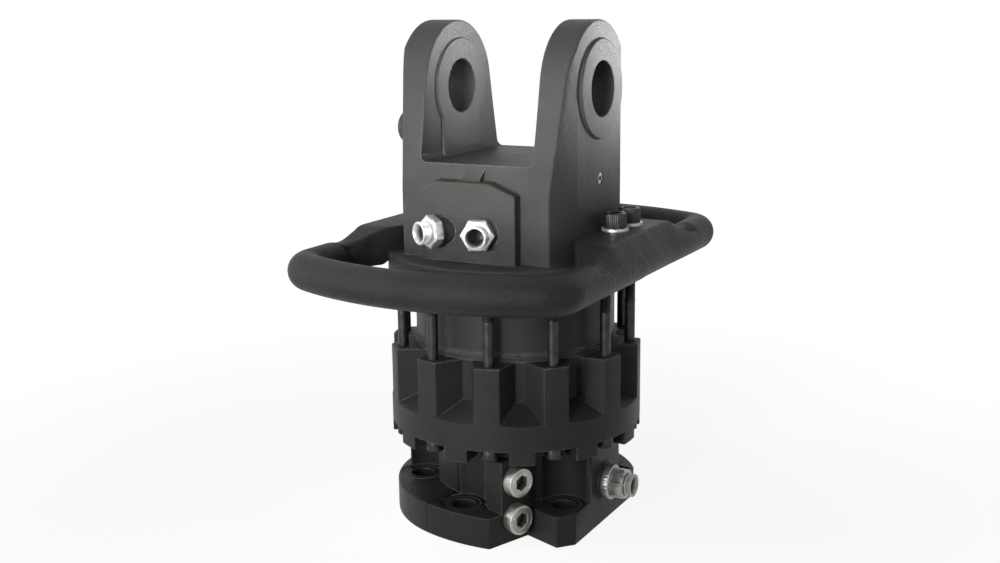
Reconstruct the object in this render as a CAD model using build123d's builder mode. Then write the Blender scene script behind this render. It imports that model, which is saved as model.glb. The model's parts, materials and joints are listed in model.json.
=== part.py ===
from build123d import *
import os
from math import asin, atan2, cos, pi, radians, sin, sqrt, tan

# Hydraulic rotator for a timber or scrap grapple, in millimetres. A clevis head with a bearing disc hangs
# from the crane's pin. Under the disc a cam ring and a crowned housing are held by a circle of long bolts,
# and the rotor turns in them and carries the grapple on its flange.
# The turning axis is Z, the flange's seat is at Z = 0, and the crane's pin runs along X.

quarter_turn = 90.0

# General clearances
joint_gap = 0.3
running_gap = 0.05
thread_gap = 0.1
thread_end_gap = 1.0

# Heights, stacked from the flange's seat upwards
flange_height = 29.6
neck_height = 49.9
housing_gap = 0.5
crown_height = 90.5
cam_height = 63.5
disc_height = 25.0
block_height = 63.0
floor_rise = 24.4
clevis_depth = 64.6
neck_top = flange_height + neck_height
crown_bottom = neck_top + housing_gap
crown_top = crown_bottom + crown_height
disc_bottom = crown_top + cam_height
disc_top = disc_bottom + disc_height
head_shoulder = disc_top + block_height
clevis_floor = head_shoulder + floor_rise
pin_height = clevis_floor + clevis_depth

# Crowned housing under the cam ring, with the circle of long bolts
crown_radius = 121.5
bolt_count = 12
bolt_edge = 9.8
bolt_start = 15.0
bolt_radius = 5.0
bolt_hole = 5.5
bolt_head_radius = 8.0
bolt_head_height = 10.0
bolt_socket = 8.0
bolt_grip = 12.0
bolt_circle = crown_radius - bolt_edge
pocket_depth = 25.5
pocket_wall_width = 9.4
pocket_mouth_width = 42.0
pocket_wall_height = 38.5
pocket_height = 54.0
pocket_wall_radius = crown_radius - pocket_depth
pocket_ledge = crown_top - pocket_wall_height
pocket_foot = crown_top - pocket_height
notch_width = 39.5
notch_height = 12.5
notch_depth = 24.5
notch_wall_radius = crown_radius - notch_depth
notch_seat = crown_bottom + notch_height

# Clevis head
pin_bore = 50.0
ear_inner = 57.5
ear_width = 31.0
ear_outer = ear_inner + ear_width
ear_round = 61.8
pad_rise = 2.5
pad_radius = 45.0
pad_strip = 35.0
boss_rise = 3.5
boss_radius = 45.2
clevis_corner = 6.0
head_depth = 79.5
corner_inset = 13.0
corner_run = 31.0
lift_boss_radius = 14.0
lift_boss_rise = 8.0
lift_boss_y = -38.0
lift_boss_z = pin_height - 37.0

# Bearing disc under the head
disc_overhang = 0.1
disc_radius = crown_radius + disc_overhang
disc_round = 5.0

# Oil port pad on the front of the head
manifold_rise = 10.9
manifold_face = head_depth + manifold_rise
manifold_half = 47.5
manifold_top = head_shoulder + 10.0
manifold_left_cut = (12.0, 8.5)
manifold_right_cut = (27.0, 10.0)
rib_half = 10.0
rib_rise = 6.0
port_height = disc_top + 28.0
port_crossings = (-27.0, 12.6)
port_turns = (-27.0, 17.0)
port_face_radius = 17.5
port_boss_radius = 15.8
port_boss_rises = (5.2, 4.0)
cross_plug_y = 3.6
cross_plug_z = head_shoulder + 7.0
cross_plug_radius = 5.5
cross_plug_depth = 12.0
cross_plug_sink = 1.0

# Threaded fittings in the ports
stud_radius = 10.4
stud_length = 13.0
stud_hex = 27.0
stud_hex_height = 9.0
stud_end_radius = 10.6
stud_end_length = 9.5
stud_bore = 6.5
stud_cone = 8.4
stud_cone_depth = 6.0
seal_radius = 14.5
seal_height = 1.8

# Guard ring round the head: a round bar, and a lug on each side that lies on the disc
guard_bar_radius = 16.8
guard_sink = 2.7
guard_reach = 217.0
guard_bow = 22.0
guard_corner_radius = 43.0
guard_half = 145.0
guard_lug_height = 23.0
guard_lug_drop = 10.0
guard_lug_front = 55.0
guard_lug_slant = 21.0
guard_lug_width = 42.0
guard_lug_lean = 30.0
guard_lug_back = 36.0
guard_slant_back = 20.0
guard_step_run = 40.0
guard_step_drop = 12.0
guard_height = disc_top - guard_sink
guard_lug_top = disc_top + guard_lug_height
guard_corner_x = guard_half - guard_corner_radius
guard_corner_y = guard_reach - guard_corner_radius - guard_bow
guard_lug_end = guard_corner_y - guard_lug_back
guard_screw_inset = 15.5
guard_screw_ys = (1.0, 35.0)
guard_screw_radius = 7.0
guard_screw_grip = 11.0
guard_head_radius = 10.5
guard_head_height = 14.0
guard_socket = 12.0
guard_washer_radius = 12.6
guard_washer_height = 2.5

# Cam ring that the vanes run in
cam_radius = pocket_wall_radius
cam_wall = 28.0
cam_rim_rise = 1.6
cam_rim_height = 8.0
cam_rim_step = 1.4
cam_lobes = 6
vane_stroke = 5.0

# Rotor: flange, neck, shaft and vane drum
flange_radius = 118.0
flange_hole_circle = 94.0
flange_hole_radius = 11.0
flange_hole_count = 6
flange_hole_turn = -5.0
flange_flat = 99.7
flange_lip = 2.0
flange_lip_turn = -18.0
scallop_radius = 21.5
scallop_sink = 1.0
neck_wall = 23.0
shaft_step = 13.0
journal_step = 15.0
drum_radius = cam_radius - cam_wall
shaft_radius = drum_radius - shaft_step
journal_radius = shaft_radius - journal_step
neck_radius = shaft_radius + neck_wall
vane_count = 8
vane_thickness = 6.0
vane_depth = 18.0
slot_extra = 4.0
journal_height = 84.0
journal_top = disc_bottom + journal_height

# Bearings and seals round the shaft
bush_wall = 5.0
lower_bush_height = 40.0
lower_bush_bottom = crown_bottom + 18.0
upper_bush_height = 30.0
thrust_washer_height = 4.0
dust_seal_bottom = crown_bottom + 4.0
dust_seal_height = 9.0
dust_seal_wall = 7.0
swivel_seal_height = 4.0
swivel_seal_wall = 4.0
swivel_seal_start = 40.0
swivel_seal_pitch = 11.5
swivel_seal_count = 4
swivel_seal_heights = [disc_bottom + swivel_seal_start + swivel_seal_pitch * k
                       for k in range(swivel_seal_count)]
journal_end_gap = 3.0

# Notch with the two plugs in the flange, and the outlet bosses on the neck
plug_corner = (33.8, -120.0)
notch_apex = (50.6, -75.7)
notch_tip = (86.9, -89.7)
flat_start = (99.6, -75.2)
plug_boss_side = (8.0, -82.0)
plug_boss_length = 31.9
plug_boss_depth = 20.0
plug_inset = 16.6
plug_heights = (59.6, 23.4)
plug_collar_radius = 14.2
plug_collar_height = 11.0
plug_socket = 13.0
plug_socket_depth = 8.0
plug_radius = 10.0
plug_length = 14.0
outlet_height = 41.0
outlet_offset = -11.0
outlet_span = (-41.0, 29.0)
outlet_face = 102.3
outlet_pad_radius = 19.0
left_boss_reach = 106.0
left_boss_span = (-30.0, 33.0)
rear_outlet_turn = 210.0
rear_outlet_height = 51.0
rear_outlet_face = 106.0
rear_outlet_half = 30.0
outlet_nut_radius = 17.0
outlet_nut_height = 8.0
outlet_hex = 27.0
outlet_hex_height = 9.0
outlet_end_radius = 11.0
outlet_end_length = 12.0
outlet_bore = 7.0


def polar(radius, turn):
    """Point at a radius and a turn, counted from the front (-Y) towards +X."""
    return (radius * sin(radians(turn)), -radius * cos(radians(turn)))


def heading(turn):
    """Level direction at a turn from the front (-Y) towards +X."""
    return (sin(radians(turn)), -cos(radians(turn)), 0)


def save(part, name):
    """Labels a finished piece and writes its file."""
    part.label = name
    export_step(part, f"parts/{name}.step")
    print(name, "volume", round(part.volume), "mm3")


os.makedirs("parts", exist_ok=True)

# Places that several pieces share
bolt_places = [polar(bolt_circle, bolt_start + 360 / bolt_count * k) for k in range(bolt_count)]
flange_places = [polar(flange_hole_circle, flange_hole_turn + 360 / flange_hole_count * k)
                 for k in range(flange_hole_count)]
guard_places = [(side * (ear_outer + guard_screw_inset), y) for side in (-1, 1) for y in guard_screw_ys]
port_seats = []
for crossing, turn, boss_out in zip(port_crossings, port_turns, port_boss_rises):
    way = heading(turn)
    foot = Vector(crossing, -manifold_face, port_height) + Vector(*way) * boss_out
    port_seats.append(Plane(origin=foot, x_dir=(0, 0, 1), z_dir=way))
face_run = (Vector(*plug_corner) - Vector(*notch_apex)).normalized()
plug_way = Vector(-face_run.Y, face_run.X, 0)
plug_foot = Vector(*notch_apex) + face_run * plug_inset
plug_boss_end = Vector(*notch_apex) + face_run * plug_boss_length
plug_boss_corner = (plug_boss_end.X, plug_boss_end.Y)
plug_boss_back = plug_boss_end - plug_way * plug_boss_depth
plug_boss_turn = (plug_boss_back.X, plug_boss_back.Y)
plug_seats = [Plane(origin=plug_foot + Vector(0, 0, z), x_dir=(0, 0, 1), z_dir=plug_way)
              for z in plug_heights]
outlet_seat = Plane(origin=(outlet_face, outlet_offset, outlet_height), x_dir=(0, 0, 1), z_dir=(1, 0, 0))
rear_way = heading(rear_outlet_turn)
rear_origin = Vector(*rear_way) * rear_outlet_face + Vector(0, 0, rear_outlet_height)
rear_seat = Plane(origin=rear_origin, x_dir=(0, 0, 1), z_dir=rear_way)

# Head casting: the clevis, the bearing disc and the oil port pad
with BuildPart() as head_casting:
    with BuildSketch(Plane.YZ):
        with Locations((0, pin_height)):
            Circle(ear_round)
        with Locations((0, (disc_top + head_shoulder) / 2)):
            Rectangle(2 * head_depth, head_shoulder - disc_top)
        make_hull()
    extrude(amount=ear_outer, both=True)
    with BuildSketch(Plane.XY.offset(disc_top)):
        with BuildLine():
            Polyline(
                (ear_outer, -(head_depth - corner_run)),
                (ear_outer, head_depth - corner_run),
                (ear_outer - corner_inset, head_depth),
                (-(ear_outer - corner_inset), head_depth),
                (-ear_outer, head_depth - corner_run),
                (-ear_outer, -(head_depth - corner_run)),
                (-(ear_outer - corner_inset), -head_depth),
                (ear_outer - corner_inset, -head_depth),
                close=True,
            )
        make_face()
    extrude(amount=pin_height + ear_round - disc_top, mode=Mode.INTERSECT)
    with BuildSketch(Plane.XZ):
        with Locations((0, clevis_floor)):
            Rectangle(2 * ear_inner, pin_height, align=(Align.CENTER, Align.MIN))
        fillet(vertices().group_by(Axis.Y)[0], clevis_corner)
    extrude(amount=head_depth, both=True, mode=Mode.SUBTRACT)
    for side in (-1, 1):
        inner = Plane(origin=(side * (ear_inner - pad_rise), 0, 0), x_dir=(0, side, 0), z_dir=(side, 0, 0))
        with BuildSketch(inner):
            with Locations((0, pin_height)):
                Circle(pad_radius)
            with Locations((0, clevis_floor)):
                Rectangle(2 * pad_strip, pin_height - clevis_floor, align=(Align.CENTER, Align.MIN))
        extrude(amount=pad_rise)
        outer = Plane(origin=(side * ear_outer, 0, 0), x_dir=(0, side, 0), z_dir=(side, 0, 0))
        with BuildSketch(outer):
            with Locations((0, pin_height)):
                Circle(boss_radius)
        extrude(amount=boss_rise)
    lift_face = Plane(origin=(-ear_outer, lift_boss_y, lift_boss_z), z_dir=(-1, 0, 0))
    with BuildSketch(lift_face):
        Circle(lift_boss_radius)
    extrude(amount=lift_boss_rise)
    with BuildSketch(Plane.XY.offset(disc_bottom)):
        Circle(disc_radius)
    extrude(amount=disc_top - disc_bottom)
    fillet(edges().filter_by(GeomType.CIRCLE).group_by(Axis.Z)[0], disc_round)
    with BuildSketch(Plane.XZ.offset(head_depth - corner_inset)):
        with BuildLine():
            Polyline(
                (-manifold_half, disc_top),
                (manifold_half, disc_top),
                (manifold_half, manifold_top - manifold_right_cut[1]),
                (manifold_half - manifold_right_cut[0], manifold_top),
                (-manifold_half + manifold_left_cut[0], manifold_top),
                (-manifold_half, manifold_top - manifold_left_cut[1]),
                close=True,
            )
        make_face()
    extrude(amount=manifold_face - head_depth + corner_inset)
    with BuildSketch(Plane.YZ):
        with BuildLine():
            Polyline(
                (-head_depth + corner_run, clevis_floor),
                (-head_depth + rib_rise, clevis_floor),
                (-head_depth - rib_rise, manifold_top),
                (-head_depth + corner_run, manifold_top),
                close=True,
            )
        make_face()
    extrude(amount=rib_half, both=True)
    with BuildSketch(Plane.YZ):
        with Locations((0, pin_height)):
            Circle(pin_bore / 2)
    extrude(amount=ear_outer + boss_rise, both=True, mode=Mode.SUBTRACT)
    for seat in port_seats:
        with BuildSketch(seat):
            Circle(port_boss_radius)
        extrude(amount=-stud_length)
        with BuildSketch(seat):
            Circle(port_face_radius)
        extrude(amount=manifold_face - head_depth + port_face_radius, mode=Mode.SUBTRACT)
        with BuildSketch(seat):
            Circle(stud_radius + thread_gap)
        extrude(amount=-(stud_length + journal_end_gap), mode=Mode.SUBTRACT)
    cross_face = Plane(origin=(ear_outer, cross_plug_y, cross_plug_z), z_dir=(1, 0, 0))
    with BuildSketch(cross_face):
        Circle(cross_plug_radius + thread_gap)
    extrude(amount=-cross_plug_depth, mode=Mode.SUBTRACT)
    with BuildSketch(Plane.XY.offset(disc_bottom)):
        Circle(journal_radius + running_gap)
    extrude(amount=journal_top + journal_end_gap - disc_bottom, mode=Mode.SUBTRACT)
    with BuildSketch(Plane.XY.offset(disc_bottom)):
        Circle(journal_radius + running_gap + bush_wall)
    extrude(amount=upper_bush_height, mode=Mode.SUBTRACT)
    for height in swivel_seal_heights:
        with BuildSketch(Plane.XY.offset(height)):
            Circle(journal_radius + running_gap + swivel_seal_wall)
        extrude(amount=swivel_seal_height, mode=Mode.SUBTRACT)
    with BuildSketch(Plane.XY.offset(disc_bottom)):
        with Locations(bolt_places):
            Circle(bolt_radius + thread_gap)
    extrude(amount=bolt_grip, mode=Mode.SUBTRACT)
    with BuildSketch(Plane.XY.offset(disc_top)):
        with Locations(guard_places):
            Circle(guard_screw_radius + thread_gap)
    extrude(amount=-guard_screw_grip, mode=Mode.SUBTRACT)
save(head_casting.part, "head_casting")

# Plug of the cross drilling in the head's right side
with BuildPart() as cross_drilling_plug:
    with BuildSketch(cross_face.offset(-cross_plug_depth)):
        Circle(cross_plug_radius)
    extrude(amount=cross_plug_depth - cross_plug_sink)
    with BuildSketch(cross_face.offset(-cross_plug_sink)):
        RegularPolygon(cross_plug_radius / 2, 6)
    extrude(amount=-cross_plug_depth / 2, mode=Mode.SUBTRACT)
save(cross_drilling_plug.part, "cross_drilling_plug")


def build_stud_fitting(seat):
    """Male stud fitting: a shank in the port, a hexagon on the seal and a coned tube end."""
    with BuildPart() as fitting:
        with BuildSketch(seat.offset(-stud_length)):
            Circle(stud_radius)
        extrude(amount=stud_length + seal_height)
        with BuildSketch(seat.offset(seal_height)):
            RegularPolygon(stud_hex / 2, 6, major_radius=False)
        extrude(amount=stud_hex_height)
        with BuildSketch(seat.offset(seal_height + stud_hex_height)):
            Circle(stud_end_radius)
        extrude(amount=stud_end_length)
        end = seat.offset(seal_height + stud_hex_height + stud_end_length)
        with BuildSketch(end):
            Circle(stud_bore)
        extrude(amount=-(stud_length + seal_height + stud_hex_height + stud_end_length), mode=Mode.SUBTRACT)
        with BuildSketch(end):
            Circle(stud_cone)
        with BuildSketch(end.offset(-stud_cone_depth)):
            Circle(stud_bore)
        loft(mode=Mode.SUBTRACT)
    return fitting.part


for seat, side in zip(port_seats, ("left", "right")):
    save(build_stud_fitting(seat), f"port_fitting_{side}")

# Bonded seals under the two stud fittings
with BuildPart() as port_seals:
    for seat in port_seats:
        with BuildSketch(seat):
            Circle(seal_radius)
            Circle(stud_radius + thread_gap, mode=Mode.SUBTRACT)
        extrude(amount=seal_height)
save(port_seals.part, "port_seals")

# Guard ring: one round bar bent round the head, with a lug on each side that lies on the disc.
# The front arc and the corner arcs touch, so its radius follows from the reach and the corner's place.
rise = guard_reach - guard_corner_y
front_radius = ((guard_corner_x ** 2 + rise ** 2 - guard_corner_radius ** 2)
                / (2 * (rise - guard_corner_radius)))
front_centre = (0, front_radius - guard_reach)
corner_centre = (guard_corner_x, -guard_corner_y)
touch_angle = atan2(-guard_corner_y - front_centre[1], guard_corner_x)
side_x = guard_half - guard_bar_radius
lug_side = ear_outer + joint_gap
lug_edge = lug_side + guard_lug_width
lean_x = side_x + guard_bar_radius * cos(radians(guard_lug_lean))
lean_height = guard_height + guard_bar_radius * sin(radians(guard_lug_lean))
slant_end = (lug_side + guard_lug_slant, guard_slant_back - guard_lug_end)


def arc_about(centre, radius, first, last):
    """Arc in plan about a centre, from one angle to another, in radians from +X."""
    middle = (first + last) / 2
    points = [(centre[0] + radius * cos(a), centre[1] + radius * sin(a)) for a in (first, middle, last)]
    return ThreePointArc(*points)


with BuildPart() as guard_ring:
    with BuildLine(Plane.XY.offset(guard_height)) as guard_line:
        arc_about(front_centre, front_radius - guard_bar_radius, -pi / 2, touch_angle)
        arc_about(corner_centre, guard_corner_radius - guard_bar_radius, touch_angle, 0)
        Line((side_x, -guard_corner_y), (side_x, 0))
    with BuildSketch(Plane(origin=(0, guard_bar_radius - guard_reach, guard_height), z_dir=(1, 0, 0))):
        Circle(guard_bar_radius)
    sweep(path=guard_line.wire())
    with BuildSketch(Plane.XZ):
        with BuildLine():
            Polyline(
                (lug_side, guard_height - guard_lug_drop),
                (lug_side, guard_lug_top),
                (lug_edge, guard_lug_top),
                (lean_x, lean_height),
                (side_x, guard_height - guard_lug_drop),
                close=True,
            )
        make_face()
    extrude(amount=guard_lug_end)
    with BuildSketch(Plane.XY.offset(guard_height - guard_lug_drop)):
        with BuildLine():
            Polyline(
                (lug_side, -guard_lug_front),
                slant_end,
                (slant_end[0], -guard_lug_end),
                (lug_side, -guard_lug_end),
                close=True,
            )
        make_face()
    extrude(amount=guard_lug_top + guard_lug_drop - guard_height, mode=Mode.SUBTRACT)
    with BuildSketch(Plane.YZ.offset(lug_side)):
        with BuildLine():
            Polyline(
                (guard_step_run - guard_lug_end, guard_lug_top),
                (-guard_lug_end, guard_lug_top - guard_step_drop),
                (-guard_lug_end, guard_lug_top),
                close=True,
            )
        make_face()
    extrude(amount=guard_half - lug_side, mode=Mode.SUBTRACT)
    mirror(about=Plane.XZ)
    mirror(about=Plane.YZ)
    with BuildSketch(Plane.XY.offset(guard_height - guard_bar_radius)):
        Circle(disc_radius + pad_rise)
    extrude(amount=disc_top - guard_height + guard_bar_radius, mode=Mode.SUBTRACT)
    with BuildSketch(Plane.XY.offset(disc_top)):
        with Locations(guard_places):
            Circle(guard_screw_radius + joint_gap)
    extrude(amount=guard_lug_top - disc_top, mode=Mode.SUBTRACT)
save(guard_ring.part, "guard_ring")

# Socket screws and washers that hold the guard's lugs on the disc
with BuildPart() as guard_washers:
    with BuildSketch(Plane.XY.offset(guard_lug_top)):
        with Locations(guard_places):
            Circle(guard_washer_radius)
            Circle(guard_screw_radius + joint_gap, mode=Mode.SUBTRACT)
    extrude(amount=guard_washer_height)
save(guard_washers.part, "guard_washers")

with BuildPart() as guard_screws:
    head_seat = guard_lug_top + guard_washer_height
    with BuildSketch(Plane.XY.offset(head_seat)):
        with Locations(guard_places):
            Circle(guard_head_radius)
    extrude(amount=guard_head_height)
    with BuildSketch(Plane.XY.offset(head_seat)):
        with Locations(guard_places):
            Circle(guard_screw_radius)
    extrude(amount=-(head_seat - disc_top + guard_screw_grip - thread_end_gap))
    with BuildSketch(Plane.XY.offset(head_seat + guard_head_height)):
        with Locations(guard_places):
            RegularPolygon(guard_socket / 2, 6, major_radius=False)
    extrude(amount=-guard_head_height / 2, mode=Mode.SUBTRACT)
save(guard_screws.part, "guard_screws")

# Cam ring: its bore has one lobe for each stroke of the vanes, and the drum nearly touches it between lobes
lobe_share = 1 - cos(radians(180 / cam_lobes))
lobe_place = vane_stroke / lobe_share
lobe_radius = drum_radius + running_gap + vane_stroke - lobe_place
with BuildPart() as cam_ring:
    with BuildSketch(Plane.XY.offset(crown_top)):
        Circle(cam_radius)
    extrude(amount=disc_bottom - crown_top)
    with BuildSketch(Plane.XY.offset(crown_top)):
        Circle(cam_radius + cam_rim_rise)
    extrude(amount=cam_rim_height)
    with BuildSketch(Plane.XY.offset(crown_top + cam_rim_height - cam_rim_step)):
        Circle(cam_radius + cam_rim_rise)
        Circle(cam_radius, mode=Mode.SUBTRACT)
    extrude(amount=-cam_rim_step, mode=Mode.SUBTRACT)
    with BuildSketch(Plane.XY.offset(crown_top)):
        with PolarLocations(lobe_place, cam_lobes):
            Circle(lobe_radius)
        make_hull()
    extrude(amount=disc_bottom - crown_top, mode=Mode.SUBTRACT)
save(cam_ring.part, "cam_ring")

# Crowned housing: twelve bosses that the long bolts pass through, pockets between them
# and notches for the bolt heads below, so teeth stand between the heads
with BuildPart() as pocket:
    with BuildSketch(Plane.XZ):
        with BuildLine():
            Polyline(
                (pocket_wall_radius, crown_top),
                (pocket_wall_radius, pocket_ledge),
                (crown_radius, pocket_foot),
                (crown_radius + pad_rise, pocket_foot),
                (crown_radius + pad_rise, crown_top),
                close=True,
            )
        make_face()
    extrude(amount=pocket_mouth_width, both=True)
    mouth_slope = (pocket_mouth_width - pocket_wall_width) / 2 / (crown_radius - pocket_wall_radius)
    outer_half = pocket_mouth_width / 2 + mouth_slope * pad_rise
    with BuildSketch(Plane.XY.offset(pocket_foot)):
        with BuildLine():
            Polyline(
                (pocket_wall_radius, -pocket_wall_width / 2),
                (crown_radius + pad_rise, -outer_half),
                (crown_radius + pad_rise, outer_half),
                (pocket_wall_radius, pocket_wall_width / 2),
                close=True,
            )
        make_face()
    extrude(amount=crown_top - pocket_foot, mode=Mode.INTERSECT)

thrust_seat = crown_top - joint_gap - 2 * thrust_washer_height
with BuildPart() as crown_housing:
    with BuildSketch(Plane.XY.offset(crown_bottom)):
        Circle(crown_radius)
    extrude(amount=crown_top - crown_bottom)
    with PolarLocations(0, bolt_count):
        add(pocket.part, mode=Mode.SUBTRACT)
    notch_turn = asin(notch_width / 2 / crown_radius)
    inner_half = notch_wall_radius * tan(notch_turn)
    outer_half = crown_radius * tan(notch_turn)
    with BuildSketch(Plane.XY.offset(crown_bottom)):
        with PolarLocations(0, bolt_count, start_angle=bolt_start):
            Polygon(
                (notch_wall_radius, -inner_half),
                (crown_radius, -outer_half),
                (crown_radius, outer_half),
                (notch_wall_radius, inner_half),
                align=None,
            )
    extrude(amount=notch_height, mode=Mode.SUBTRACT)
    with BuildSketch(Plane.XY.offset(notch_seat)):
        with Locations(bolt_places):
            Circle(bolt_hole)
    extrude(amount=crown_top - notch_seat, mode=Mode.SUBTRACT)
    with BuildSketch(Plane.XY.offset(crown_bottom)):
        Circle(shaft_radius + joint_gap)
    extrude(amount=crown_top - crown_bottom, mode=Mode.SUBTRACT)
    with BuildSketch(Plane.XY.offset(lower_bush_bottom)):
        Circle(shaft_radius + running_gap + bush_wall)
    extrude(amount=lower_bush_height, mode=Mode.SUBTRACT)
    with BuildSketch(Plane.XY.offset(dust_seal_bottom)):
        Circle(shaft_radius + running_gap + dust_seal_wall)
    extrude(amount=dust_seal_height, mode=Mode.SUBTRACT)
    with BuildSketch(Plane.XY.offset(thrust_seat)):
        Circle(drum_radius)
    extrude(amount=crown_top - thrust_seat, mode=Mode.SUBTRACT)
save(crown_housing.part, "crown_housing")

# Long bolts that clamp the crowned housing and the cam ring to the disc
with BuildPart() as long_bolts:
    with BuildSketch(Plane.XY.offset(notch_seat)):
        with Locations(bolt_places):
            Circle(bolt_head_radius)
    extrude(amount=-bolt_head_height)
    with BuildSketch(Plane.XY.offset(notch_seat)):
        with Locations(bolt_places):
            Circle(bolt_radius)
    extrude(amount=disc_bottom + bolt_grip - thread_end_gap - notch_seat)
    with BuildSketch(Plane.XY.offset(notch_seat - bolt_head_height)):
        with Locations(bolt_places):
            RegularPolygon(bolt_socket / 2, 6, major_radius=False)
    extrude(amount=bolt_head_height / 2, mode=Mode.SUBTRACT)
save(long_bolts.part, "long_bolts")


def build_sleeve(bottom, height, bore, wall):
    """Plain round sleeve or seal about the turning axis."""
    with BuildPart() as sleeve:
        with BuildSketch(Plane.XY.offset(bottom)):
            Circle(bore + wall)
            Circle(bore, mode=Mode.SUBTRACT)
        extrude(amount=height)
    return sleeve.part


shaft_bore = shaft_radius + running_gap
thrust_wall = drum_radius - shaft_bore - running_gap
save(build_sleeve(lower_bush_bottom, lower_bush_height, shaft_bore, bush_wall), "lower_bush")
save(build_sleeve(disc_bottom, upper_bush_height, journal_radius + running_gap, bush_wall), "upper_bush")
save(build_sleeve(dust_seal_bottom, dust_seal_height, shaft_bore, dust_seal_wall), "dust_seal")
save(build_sleeve(thrust_seat, thrust_washer_height, shaft_bore, thrust_wall), "thrust_washer_lower")
save(build_sleeve(thrust_seat + thrust_washer_height, thrust_washer_height, shaft_bore, thrust_wall),
     "thrust_washer_upper")

with BuildPart() as swivel_seals:
    for height in swivel_seal_heights:
        with BuildSketch(Plane.XY.offset(height)):
            Circle(journal_radius + running_gap + swivel_seal_wall)
            Circle(journal_radius + running_gap, mode=Mode.SUBTRACT)
        extrude(amount=swivel_seal_height)
save(swivel_seals.part, "swivel_seals")

# Rotor: the flange with its plug notch, the scalloped neck with outlet bosses, the shaft and the vane drum
with BuildPart() as rotor_flange:
    with BuildSketch(Plane.XY):
        with BuildLine():
            flat_back = sqrt(flange_radius ** 2 - flange_flat ** 2)
            seam = polar(flange_radius, flange_lip_turn)
            ThreePointArc((flange_flat, flat_back), (-flange_radius, 0), seam)
            ThreePointArc(seam, polar(flange_radius + flange_lip, 0), plug_corner)
            Polyline(plug_corner, notch_apex, notch_tip, flat_start, (flange_flat, flat_back))
        make_face()
    extrude(amount=flange_height)
    with BuildSketch(Plane.XY.offset(flange_height)):
        Circle(neck_radius)
        Polygon(
            plug_boss_side,
            plug_boss_turn,
            plug_boss_corner,
            notch_apex,
            (notch_apex[0], 0),
            (0, 0),
            align=None,
        )
        with Locations((0, outlet_span[0])):
            Rectangle(outlet_face - pad_rise, outlet_span[1] - outlet_span[0], align=(Align.MIN, Align.MIN))
        with Locations((0, left_boss_span[0])):
            Rectangle(left_boss_reach, left_boss_span[1] - left_boss_span[0], align=(Align.MAX, Align.MIN))
        with Locations(Rotation(0, 0, rear_outlet_turn - quarter_turn)):
            Rectangle(rear_outlet_face - pad_rise, 2 * rear_outlet_half, align=(Align.MIN, Align.CENTER))
    extrude(amount=neck_height)
    for seat in (outlet_seat, rear_seat):
        with BuildSketch(seat):
            Circle(outlet_pad_radius)
        extrude(amount=-(outlet_face - shaft_radius))
    with BuildSketch(Plane.XY.offset(flange_height - scallop_sink)):
        with Locations(flange_places):
            Circle(scallop_radius)
    extrude(amount=neck_top, mode=Mode.SUBTRACT)
    with BuildSketch(Plane.XY):
        with Locations(flange_places):
            Circle(flange_hole_radius)
    extrude(amount=flange_height, mode=Mode.SUBTRACT)
    with BuildSketch(Plane.XY.offset(neck_top)):
        Circle(shaft_radius)
    extrude(amount=crown_top - neck_top)
    with BuildSketch(Plane.XY.offset(crown_top + running_gap)):
        Circle(drum_radius)
    extrude(amount=disc_bottom - crown_top - 2 * running_gap)
    with BuildSketch(Plane.XY.offset(crown_top)):
        Circle(journal_radius)
    extrude(amount=journal_top - crown_top)
    with BuildSketch(Plane.XY.offset(crown_top)):
        with PolarLocations(drum_radius, vane_count):
            Rectangle(2 * (vane_depth + slot_extra), vane_thickness + 2 * running_gap)
    extrude(amount=disc_bottom - crown_top, mode=Mode.SUBTRACT)
    for seat in plug_seats:
        with BuildSketch(seat):
            Circle(plug_radius + thread_gap)
        extrude(amount=-(plug_length + journal_end_gap), mode=Mode.SUBTRACT)
    for seat in (outlet_seat, rear_seat):
        with BuildSketch(seat):
            Circle(stud_radius + thread_gap)
        extrude(amount=-(stud_length + journal_end_gap), mode=Mode.SUBTRACT)
save(rotor_flange.part, "rotor_flange")


def build_plug(seat):
    """Collared plug with a hexagon socket, screwed into the flange."""
    with BuildPart() as plug:
        with BuildSketch(seat.offset(-plug_length)):
            Circle(plug_radius)
        extrude(amount=plug_length)
        with BuildSketch(seat):
            Circle(plug_collar_radius)
        extrude(amount=plug_collar_height)
        with BuildSketch(seat.offset(plug_collar_height)):
            RegularPolygon(plug_socket / 2, 6, major_radius=False)
        extrude(amount=-plug_socket_depth, mode=Mode.SUBTRACT)
    return plug.part


for seat, place in zip(plug_seats, ("upper", "lower")):
    save(build_plug(seat), f"flange_plug_{place}")


def build_outlet(seat):
    """Outlet adapter: a shank in the boss, a round nut, a hexagon and a coned tube end."""
    with BuildPart() as outlet:
        with BuildSketch(seat.offset(-stud_length)):
            Circle(stud_radius)
        extrude(amount=stud_length)
        with BuildSketch(seat):
            Circle(outlet_nut_radius)
        extrude(amount=outlet_nut_height)
        with BuildSketch(seat.offset(outlet_nut_height)):
            RegularPolygon(outlet_hex / 2, 6, major_radius=False)
        extrude(amount=outlet_hex_height)
        with BuildSketch(seat.offset(outlet_nut_height + outlet_hex_height)):
            Circle(outlet_end_radius)
        extrude(amount=outlet_end_length)
        with BuildSketch(seat.offset(outlet_nut_height + outlet_hex_height + outlet_end_length)):
            Circle(outlet_bore)
        extrude(amount=-(outlet_nut_height + outlet_hex_height + outlet_end_length + stud_length),
                mode=Mode.SUBTRACT)
    return outlet.part


for seat, place in ((outlet_seat, "front"), (rear_seat, "rear")):
    save(build_outlet(seat), f"outlet_adapter_{place}")

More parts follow.
